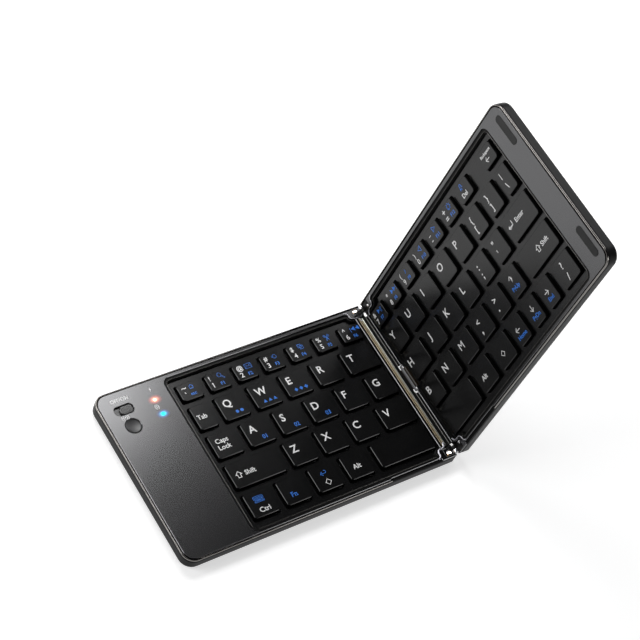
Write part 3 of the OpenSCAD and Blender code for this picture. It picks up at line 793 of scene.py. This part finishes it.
legends = {
    "left": [
        [number("6", "^", "F6", "|◀◀"), number("5", "%", "F5", "✂"), number("4", "$", "F4", "⧉"),
         number("3", "#", "F3", "⟲"), number("2", "@", "F2", "✉"), number("1", "!", "F1", "🔍"),
         ([("~", 2.0, 5.4, 3.0), ("`", 2.3, 1.4, 3.0)],
          [("esc", 5.2, 1.9, 1.7), ("⌂", 6.2, 5.4, 2.3)])],
        [letter("T"), letter("R"), letter("E", ("◆ ◆ ◆", 4.0, 2.3, 1.5)),
         letter("W", ("▲ ▲ ▲", 4.3, 2.3, 1.5)), letter("Q", ("● ●", 6.8, 2.3, 1.5)),
         white(("Tab", 1.2, 5.6, 2.4))],
        [letter("G"), letter("F"), letter("D", ("03", 7.6, 2.2, 2.1)),
         letter("S", ("02", 7.6, 2.2, 2.1)), letter("A", ("01", 7.6, 2.2, 2.1)),
         white(("Caps", 2.6, 7.9, 2.4), ("Lock", 2.6, 4.3, 2.4))],
        [*map(letter, "VCXZ"), white(("⇧", 2.6, 4.9, 3.2), ("Shift", 7.9, 5.4, 2.3))],
        [white(), white(("Alt", 4.2, 4.9, 2.5)), ([("◇", 5.2, 2.6, 2.6)], [("↩", 5.0, 7.6, 2.6)]),
         ([], [("Fn", 4.4, 3.5, 2.5)]), ([("Ctrl", 4.3, 2.1, 2.5)], [("⌨", 4.0, 7.3, 3.4)])]],
    "right": [
        [number("7", "&", "F7", "▶||"), number("8", "*", "F8", "▶▶|"),
         number("9", "(", "F9", "♪"), number("0", ")", "F10", "◁"),
         ([("-", 2.1, 1.9, 3.0), ("_", 1.9, 6.0, 2.4)], second("F11", "▷")),
         ([("=", 2.1, 1.5, 3.0), ("+", 2.1, 5.2, 3.0)], second("F12", "☀")),
         ([("Del", 3.4, 1.7, 2.2)], [("🔒", 4.6, 5.4, 2.4)]),
         white(("←", 3.4, 1.8, 3.0), ("Backspace", 1.5, 5.6, 1.45))],
        [*map(letter, "YUIOP"), white(("{", 3.0, 7.6, 3.2), ("[", 3.0, 2.6, 3.2)),
         white(("}", 3.0, 7.6, 3.2), ("]", 3.0, 2.6, 3.2)),
         white(("|", 2.6, 8.6, 2.6), ("\\", 2.6, 2.6, 3.0))],
        [white(("H", 2.8, 6.85, 4.0)), *map(letter, "JKL"),
         white((":", 3.2, 7.4, 3.6), (";", 3.2, 2.8, 3.6)),
         white(("\"", 3.2, 7.4, 3.4), ("'", 3.3, 2.6, 3.4)),
         white(("↵", 1.6, 5.6, 3.6), ("Enter", 8.1, 6.2, 2.3))],
        [*map(letter, "BNM"), white(("<", 3.2, 7.4, 3.2), (",", 3.2, 3.2, 4.2)),
         white((">", 3.2, 7.4, 3.2), (".", 3.2, 3.2, 4.2)),
         ([("↑", 3.3, 6.9, 3.2)], [("PgUp", 1.9, 3.1, 2.0)]),
         white(("⇧", 12.7, 5.0, 3.2), ("Shift", 17.5, 5.5, 2.3))],
        [white(), white(("Alt", 3.4, 4.9, 2.5)), white(("◇", 4.8, 4.6, 2.4)),
         ([("←", 2.4, 5.6, 3.2)], [("Home", 1.6, 2.7, 2.0)]),
         ([("↓", 3.3, 6.4, 3.2)], [("PgDn", 2.0, 3.0, 2.0)]),
         ([("→", 2.4, 5.6, 3.2)], [("End", 2.6, 2.7, 2.0)]),
         white(("?", 6.0, 7.6, 3.4), ("/", 5.9, 1.6, 3.4))]]}

for side in ("left", "right"):
    for node, (row, first, last) in node_keys[side].items():
        for colour, ink in enumerate((white_ink, blue_ink)):
            parts = [mark(side, key_box(side, row, i), *drawn)
                     for i in range(first, last + 1) for drawn in legends[side][row][i][colour]]
            if parts:
                name = node + ("_print_white", "_print_blue")[colour]
                piece(name, node, side, [(parts, ink)])


# ---------------------------------------------------------------- Hinges
# At each end of the fold a leaf is let into each half and carries a short knuckle: satin metal
# with a polished knuckle and stop block in the left half, near black in the right one; a pin
# runs through both knuckles. The long dark rail lies in the channel beside the left well.
polished = smooth("polished_steel", (0.82, 0.82, 0.84), 0.17, 0.08, 900.0, 3.0, Metallic=1.0)
warm_edge = smooth("warm_edge", (0.80, 0.50, 0.24), 0.26, 0.1, 900.0, Metallic=1.0)
# The right leaves and their knuckles are made near black, darker than the left ones.
near_black_leaf = smooth("near_black_leaf", (0.008, 0.008, 0.008), 0.36, 0.1, 900.0,
                     Specular_IOR_Level=0.15)
leaf_v0, knuckle_len, knuckle_r, leaf_w = 1.3, 1.9, 1.45, (5.6, 6.35)
leaf_u = (2.3, 6.2)
boss_size = (2.2, 2.1)


def lathe_v(v0, v1, radius, edge, around=28):
    """A short round bar along v about the fold axis, its end edges rounded: a profile of
    (distance along, radius) turned once round the axis, closed by its two end faces."""
    arc = np.linspace(0, math.pi / 2, 4)
    end = [(edge * (1 - math.cos(a)), radius - edge * (1 - math.sin(a))) for a in arc]
    turned = [(v0 + d, r) for d, r in end] + [(v1 - d, r) for d, r in end[::-1]]
    a = np.arange(around) * 2 * math.pi / around
    return skin([np.column_stack([r * np.cos(a), np.full(around, v), axis_w + r * np.sin(a)])
                 for v, r in turned], True)


def leaf_plate(top):
    """The flat leaf in its pocket."""
    return slab(rectangle(leaf_u[0] - 0.9, leaf_u[1], leaf_v0 - 0.08,
                          leaf_v0 + 2 * knuckle_len + 0.18, 0.35), leaf_w[0], top, 0.04)


def knuckle(v0):
    """One knuckle with the arm that joins it to the leaf."""
    arm = slab(rectangle(0.2, leaf_u[0] + 0.3, v0, v0 + knuckle_len, 0.05),
               leaf_w[0], leaf_w[1], 0.1)
    return arm + [lathe_v(v0, v0 + knuckle_len, knuckle_r, 0.25)]


def boss(u, v):
    """A polished stop block on the leaf, its top a plane that tilts up to the fold and down to
    the far end, so that it catches the high lamp, above a bevelled edge. Returns top and edge."""
    corners = centred(u, v, *boss_size, 0.3)
    rings = []
    for inset, low, tilt in ((0, leaf_w[0] + 0.3, 0), (0, 7.3, 1), (0.2, 7.42, 1)):
        ring = outline(corners, inset, 5)
        w = low + tilt * (-0.37 * (ring[:, 0] - u) - 0.17 * (ring[:, 1] - v))
        rings.append(np.column_stack([ring, w]))
    points, faces = skin(rings, True)
    return [(points, faces[-1:])], [(points, faces[:-1])]


near_top, near_edge = boss(4.1, 2.7)
far_top, far_edge = boss(4.5, depth - 2.7)
left_leaf = leaf_plate(6.95)
left_knuckle = knuckle(leaf_v0)
piece("left_hinge_clips", "left_half", "left",
      [(left_leaf + mirror_v(left_leaf), satin_metal),
       (near_top + far_top + left_knuckle + mirror_v(left_knuckle), polished),
       (near_edge + far_edge, warm_edge)], ["left_hinge_leaves"])
right_leaf = leaf_plate(leaf_w[1]) + knuckle(leaf_v0 + knuckle_len + 0.1)
rivet = stud(circle_corners(4.8, 4.4, 0.85), [(0, leaf_w[1] - 0.3), (0, leaf_w[1] + 0.2),
                                              (0.12, leaf_w[1] + 0.4), (0.35, leaf_w[1] + 0.52)])
piece("right_hinge_clips", "right_half", "right",
      [(right_leaf + mirror_v(right_leaf), near_black_leaf), (rivet + mirror_v(rivet), polished)],
      ["right_hinge_leaves"])

rail_steel = smooth("rail_steel", (0.36, 0.37, 0.34), 0.25, 0.1, 500.0, Metallic=1.0)
rail_brass = smooth("rail_brass", (0.46, 0.38, 0.25), 0.25, 0.1, 500.0, Metallic=1.0)
rail_section = [(2.45, 6.1), (2.45, 6.7), (2.52, 6.86), (2.7, 6.94), (2.9, 6.9), (3.02, 6.75),
                (3.1, 6.2), (3.36, 6.2), (3.42, 6.7), (3.52, 6.78), (3.62, 6.7), (3.7, 6.2),
                (4.28, 6.2), (4.36, 6.66), (4.46, 6.74), (4.56, 6.66), (4.62, 6.3), (4.62, 6.1)]
rail_ends, rail_round = (7.0, 88.0), 0.9


def rail_parts():
    """The rail's section carried along the fold, its ends drawn down in a quarter round."""
    low = rail_section[0][1]
    ease = np.linspace(0, math.pi / 2, 6)[1:]
    end = [(rail_round * (1 - math.cos(a)), math.sin(a)) for a in ease]
    stations = [(rail_ends[0] + d, k) for d, k in end]
    stations += [(rail_ends[1] - d, k) for d, k in end[::-1]]
    points, faces = skin([[(u, v, low + (w - low) * k) for u, w in rail_section]
                          for v, k in stations], True)
    quads = np.reshape(faces[:-2], (len(stations) - 1, len(rail_section), 4))
    lip, ribs, rest = (quads[:, columns].reshape(-1, 4).tolist() for columns in
                       ([0, 1, 2, 3, 4, 5], [7, 8, 9, 10, 12, 13, 14, 15], [6, 11, 16, 17]))
    return [(points, lip)], [(points, ribs)], [(points, rest + faces[-2:])]


rail_lip, rail_ribs, rail_rest = rail_parts()
piece("fold_rail", "left_half", "left",
      [(rail_lip, rail_steel), (rail_ribs, rail_brass), (rail_rest, groove_black)],
      ["hinge_rail"])

guard_satin = moulded("guard_satin", (0.16, 0.16, 0.165), (0.19, 0.19, 0.195), 0.32, 0.15, 0.002)
guard_parts = slab(rectangle(-0.95, 0.65, 39.5, 55.3, 0.5), half_h - 0.5, half_h, 0.22)
for v in (39.5, 54.5):
    guard_parts += slab(rectangle(fold_gap, 0.65, v, v + 0.8, 0.05), cover_h - 0.9,
                        half_h - 0.4)
piece("flex_guard", "right_half", "right", [(guard_parts, guard_satin)], ["cable_guard"])


# ---------------------------------------------------------------- Films across the fold
# A flat cable runs from half to half under the guard bar, and black strips on both sides of it
# close the gap against dust. Both are thin film, fixed in the left half and on the right one.
film_t = 0.15
cable_film = moulded("cable_film", (0.020, 0.012, 0.006), (0.030, 0.018, 0.009), 0.3, 0.5, 0.002)
strip_film = moulded("strip_film", (0.004, 0.004, 0.004), (0.006, 0.006, 0.006), 0.6, 0.3, 0.01,
                     Specular_IOR_Level=0.15)


def film_parts(left_path, right_path, ranges):
    """A film across the fold: a Catmull-Rom curve through the left points (u, w) and the right
    ones, which are turned into the left half's plane, thickened along its normals and drawn out
    along v over each range. Returned in the model's frame, in millimetres."""
    ends = [place(side, [(u, 0, w) for u, w in path]) / MM
            for side, path in (("left", left_path), ("right", right_path))]
    knots = np.concatenate(ends)[:, [0, 2]]
    knots = np.concatenate([2 * knots[:1] - knots[1:2], knots, 2 * knots[-1:] - knots[-2:-1]])
    t = np.linspace(0, 1, 7)[:-1, None]
    spans = [0.5 * (2 * b + (c - a) * t + (2 * a - 5 * b + 4 * c - d) * t ** 2
                    + (3 * b - a - 3 * c + d) * t ** 3)
             for a, b, c, d in zip(knots, knots[1:], knots[2:], knots[3:])]
    curve = np.concatenate(spans + [knots[-2:-1]])
    along = np.gradient(curve, axis=0)
    along /= np.linalg.norm(along, axis=1, keepdims=True)
    normal = np.stack([-along[:, 1], along[:, 0]], axis=1) * film_t / 2
    section = np.concatenate([curve + normal, (curve - normal)[::-1]])
    n, count = len(section), 5
    m = np.arange(n // 2 - 1)
    cap = np.stack([m, m + 1, n - 2 - m, n - 1 - m], axis=1)
    quads = bands(n, count, flip=True).reshape(-1, 4)
    faces = np.concatenate([quads, cap, cap[:, ::-1] + (count - 1) * n]).tolist()
    return [(np.concatenate([np.column_stack([section[:, 0], np.full(n, v - depth / 2),
                                              section[:, 1]])
                             for v in np.linspace(v0, v1, count)]), faces)
            for v0, v1 in ranges]


cable = film_parts([(9, 1.75), (4.2, 1.75), (3.6, 2.35), (3.5, 4.9), (3.1, 5.5), (2.4, 5.7),
                    (1, 5.8), (0, 5.75), (-0.7, 5.82)],
                   [(-0.4, 5.95), (0.3, 5.95), (1.1, 5.8), (1.5, 5.1), (1.6, 2.25), (2.2, 1.75),
                    (7.6, 1.75)], [(41.5, 53.5)])
cable = piece("ribbon_cable", None, None, [(cable, cable_film)], ["flex_cable"])
strips = film_parts([(2.3, 6.2), (0.25, 6.2), (-0.35, 6.05), (-0.8, 6.22)],
                    [(-0.45, 6.0), (0, 5.75), (0.15, 5.4), (0.15, 4.5)],
                    [(7.2, 38.9), (55.9, 87.8)])
strips = piece("fold_strips", None, None, [(strips, strip_film)], ["flex_cable"])
place("left", [(2.4, 0, 5.7)])[0]
place("right", [(1.3, 0, 5.5)])[0]
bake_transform(cable)
place("left", [(0.25, 0, 6.2)])[0]
place("right", [(0.12, 0, 5.5)])[0]
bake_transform(strips)


# ---------------------------------------------------------------- Switch, button and lights
# Set in the left half's margin: a ridged slider in its slot, a dished button, and the clear
# ends of two light pipes, one lit orange and one lit pale blue.
slider_u = slot_at[0] - 1.4
knob_top = half_h - 0.4
knob_len, knob_w = 6.8, 4.5
dark_gloss = moulded("dark_gloss", (0.03, 0.03, 0.031), (0.04, 0.04, 0.041), 0.25, 0.2, 0.003)
flange_len, flange_w = 14.0, 6.6
ridge_len, ridge_w, ridge_gap = 3.0, 0.4, 0.8
knob = slab(centred(slider_u, slot_at[1], knob_len, knob_w, 1.6), cover_h - 0.4, knob_top, 0.25)
knob += slab(centred(slider_u, slot_at[1], flange_len, flange_w, 0.5), cover_h - 0.8,
             cover_h - 0.3)
for k in range(-3, 4):
    knob += slab(centred(slider_u + ridge_gap * k, slot_at[1], ridge_w, ridge_len, 0.15),
                 knob_top - 0.02, knob_top + 0.25, 0.1)
piece("power_slider_knob", "power_slider", "left", [(knob, dark_gloss)],
      ["power_slider"])

# The dish falls from the button's edge with the square of the distance from its middle.
button_r, button_top, dish = 3.9, half_h - 0.05, 0.4
button_profile = [(0.0, 4.9), (0.0, half_h - 0.25), (0.06, half_h - 0.1), (0.2, button_top)]
button_profile += [(button_r * (1 - k), button_top - dish * (1 - k * k))
                   for k in 0.93 * np.linspace(1, 0, 12)[:-1]]
button_parts = stud(circle_corners(*button_at, button_r), button_profile, 10)
button_satin = moulded("button_satin", (0.02, 0.02, 0.021), (0.028, 0.028, 0.029), 0.36, 0.2,
                       0.003)
piece("pairing_button", "connect_button", "left", [(button_parts, button_satin)],
      ["connect_button"])


def lit(name, core, strength):
    """A clear lens that glows in one colour."""
    finish = Finish(name, core, 0.3)
    finish.put("Emission Color", (*core, 1.0))
    finish.put("Emission Strength", strength)
    return finish.material


for name, v, core, strength in (("charge_light", charge_v, (1.0, 0.45, 0.25), 6.0),
                                ("status_light", status_v, (0.0, 0.9, 1.0), 1.8)):
    lens = stud(circle_corners(light_u, v, light_r), [(0, 2.9), (0, half_h - 0.1),
                                                      (0.12, half_h + 0.04),
                                                      (0.4, half_h + 0.12)], 8)
    piece(name + "_lens", "left_half", "left", [(lens, lit(name, core, strength))],
          [name + "_pipe"])

margin = []
for text, u, v, size in (("OFF/ON", 149.0, 88.4, 1.85), ("((•))", 147.9, 78.8, 1.75),
                         ("(i)", 129.8, 78.6, 1.9)):
    points, faces = glyphs(text, size)
    margin.append((np.column_stack([u - points[:, 0], v + points[:, 1],
                                    half_h + print_t / 2 + points[:, 2]]),
                   [f[::-1] for f in faces]))
bolt = [(0.45, 1.35), (-0.65, -0.2), (-0.1, -0.2), (-0.4, -1.35), (0.65, 0.25), (0.1, 0.25)]
margin += slab([(127.3 - x, 89.1 + y, 0.03) for x, y in bolt[::-1]], half_h, half_h + print_t)
piece("margin_print", "left_half", "left", [(margin, white_ink)])


# ---------------------------------------------------------------- Pads, feet and inner parts
# Rubber bumpers on the right half keep the closed halves apart. The rest is seen only from
# below or inside. It keeps its CAD form, but for the domes and links under the caps.
pad_rubber = moulded("pad_rubber", (0.007, 0.007, 0.007), (0.011, 0.011, 0.011), 0.5, 0.12,
                     0.004, Specular_IOR_Level=0.3)
pads = [part for corners in pad_holes
        for part in slab(corners, half_h - 0.6, half_h + 0.15, 0.12)]
piece("bumpers", "right_half", "right", [(pads, pad_rubber)], ["bumper_pads"])

foot_rubber = moulded("foot_rubber", (0.012, 0.012, 0.012), (0.02, 0.02, 0.02), 0.7, 0.3, 0.02)
film = moulded("film", (0.010, 0.010, 0.010), (0.014, 0.014, 0.014), 0.5, 0.5, 0.002)
silicone = moulded("silicone", (0.05, 0.05, 0.05), (0.07, 0.07, 0.07), 0.55, 0.4, 0.004)
nylon = moulded("nylon", (0.012, 0.012, 0.012), (0.018, 0.018, 0.018), 0.5, 0.3, 0.004)
board_green = moulded("board_green", (0.008, 0.07, 0.025), (0.012, 0.1, 0.04), 0.3, 0.6, 0.004)
pouch = moulded("pouch", (0.35, 0.36, 0.38), (0.45, 0.46, 0.48), 0.35, 2.0, 0.02, Metallic=0.8)
steel = smooth("plain_steel", (0.5, 0.5, 0.51), 0.25, 0.15, 700.0, 3.0, Metallic=1.0)
black_steel = smooth("black_steel", (0.08, 0.08, 0.082), 0.3, 0.12, 900.0, Metallic=1.0)
finishes = {
    foot_rubber: ["left_feet", "right_feet"],
    film: ["left_membrane", "right_membrane"],
    steel: ["left_backing_plate", "right_backing_plate", "left_magnets", "right_magnets",
            "power_switch_body", "charging_port", "hinge_pins"],
    black_steel: ["left_screws", "right_screws"],
    board_green: ["main_circuit_board"],
    pouch: ["battery"],
}
for material, nodes in finishes.items():
    for node in nodes:
        for slot in frame["nodes"][node].material_slots:
            slot.material = material

# Under each cap a silicone dome and two pairs of crossing nylon links stand on the membrane. They
# are drawn squashed, low enough to clear the cap at the end of its stroke.
stroke, spare = 1.5, 0.1
sheet_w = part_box("left_rubber_domes")[0][2] / MM - under_z
squashed = cap_top - cap_roof - stroke - spare
link_thick, link_half, link_rows = 0.5, 0.35, (1.6, 2.5)


def dome(box):
    """A dome under the middle of one cap: a short cone on the membrane, flat on top."""
    u, v = (box[0] + box[1]) / 2, (box[2] + box[3]) / 2
    radius = min(3.0, (box[3] - box[2]) / 2 - 3.0)
    return stud(circle_corners(u, v, radius), [(0, sheet_w), (0.25 * radius, squashed - 0.4),
                                               (0.45 * radius, squashed)])


def link(u0, w0, u1, w1, v):
    """One straight bar from (u0, w0) to (u1, w1), its width along v, as a closed box."""
    ends = np.array([(u0, w0), (u1, w1), (u1, w1 + link_thick), (u0, w0 + link_thick)])
    return skin([np.column_stack([ends[:, 0], np.full(4, v + half), ends[:, 1]])
                 for half in (-link_half, link_half)], True, True)


def scissor(box):
    """Two pairs of crossing bars along the near and far edges of one cap."""
    u, v = (box[0] + box[1]) / 2, (box[2] + box[3]) / 2
    reach = min(box[1] - box[0], letter_w) / 2 - 2.2
    high = squashed - link_thick
    bars = []
    for edge in (-1, 1):
        for inset, (w0, w1) in zip(link_rows, ((sheet_w, high), (high, sheet_w))):
            at = v + edge * ((box[3] - box[2]) / 2 - inset)
            bars.append(link(u - reach, w0, u + reach, w1, at))
    return bars


for side in ("left", "right"):
    domes = [part for box in key_boxes(side) for part in dome(box)]
    links = [part for box in key_boxes(side) for part in scissor(box)]
    piece(side + "_dome_set", side + "_half", side, [(domes, silicone)],
          [side + "_rubber_domes"])
    piece(side + "_link_set", side + "_half", side, [(links, nylon)],
          [side + "_scissor_links"])


# ---------------------------------------------------------------- Stage and lamps
# A white floor under the feet and four softboxes: one high behind the left half, whose
# reflection fades across the satin plate, one behind the right half for its own plate, and two
# in front, to the left and the right, for the walls and the edges of the keys.
floor_mesh = bpy.data.meshes.new("floor")
floor_reach = 6.0
floor_mesh.from_pydata([(x * floor_reach, y * floor_reach, 0) for x, y in
                        ((-1, -1), (1, -1), (1, 1), (-1, 1))], [], [(0, 1, 2, 3)])
floor = bpy.data.objects.new("floor", floor_mesh)
bpy.context.scene.collection.objects.link(floor)
floor_white = Finish("floor_white", (0.70, 0.70, 0.70), 0.9)
seen = (floor_white.node("LightPath", output="Is Camera Ray")
        + floor_white.node("LightPath", output="Is Glossy Ray")
        + floor_white.node("LightPath", output="Is Transmission Ray"))
lit_floor = floor_white.node("AddShader", {
    0: Sock(floor_white.tree, floor_white.shader.outputs[0]),
    1: floor_white.node("Emission", {"Strength": 0.6 * seen})})
feed(floor_white.tree, floor_white.tree.nodes["Material Output"].inputs["Surface"], lit_floor)
floor_mesh.materials.append(floor_white.material)


def softbox(name, at, side, radiance, aim):
    """A flat square lamp turned towards aim. radiance is how bright its face looks, so its
    power is radiance times pi times its area."""
    lamp = bpy.data.lights.new(name, "AREA")
    lamp.shape = "SQUARE"
    lamp.size = side
    lamp.energy = radiance * math.pi * side ** 2
    holder = bpy.data.objects.new(name, lamp)
    bpy.context.scene.collection.objects.link(holder)
    holder.location = at
    holder.rotation_euler = (Vector(at) - Vector(aim)).to_track_quat("Z", "Y").to_euler()


softbox("softbox_far", (0.035, 0.42, 0.50), 0.34, 9.0, (0.035, 0.42, 0.0))
softbox("panel_right", (0.90, 0.38, 0.72), 0.5, 3.4, (0.08, 0.0, 0.16))
softbox("softbox_left", (-0.95, 0.45, 0.66), 0.6, 6.0, (0.0, 0.0, 0.06))
softbox("strip_front", (0.62, -0.95, 0.45), 0.4, 4.5, (0.0, 0.0, 0.05))
world = bpy.data.worlds.new("studio")
world.use_nodes = True
background = world.node_tree.nodes["Background"]
background.inputs["Color"].default_value = (0.9, 0.93, 1.0, 1.0)
background.inputs["Strength"].default_value = 0.03
bpy.context.scene.world = world
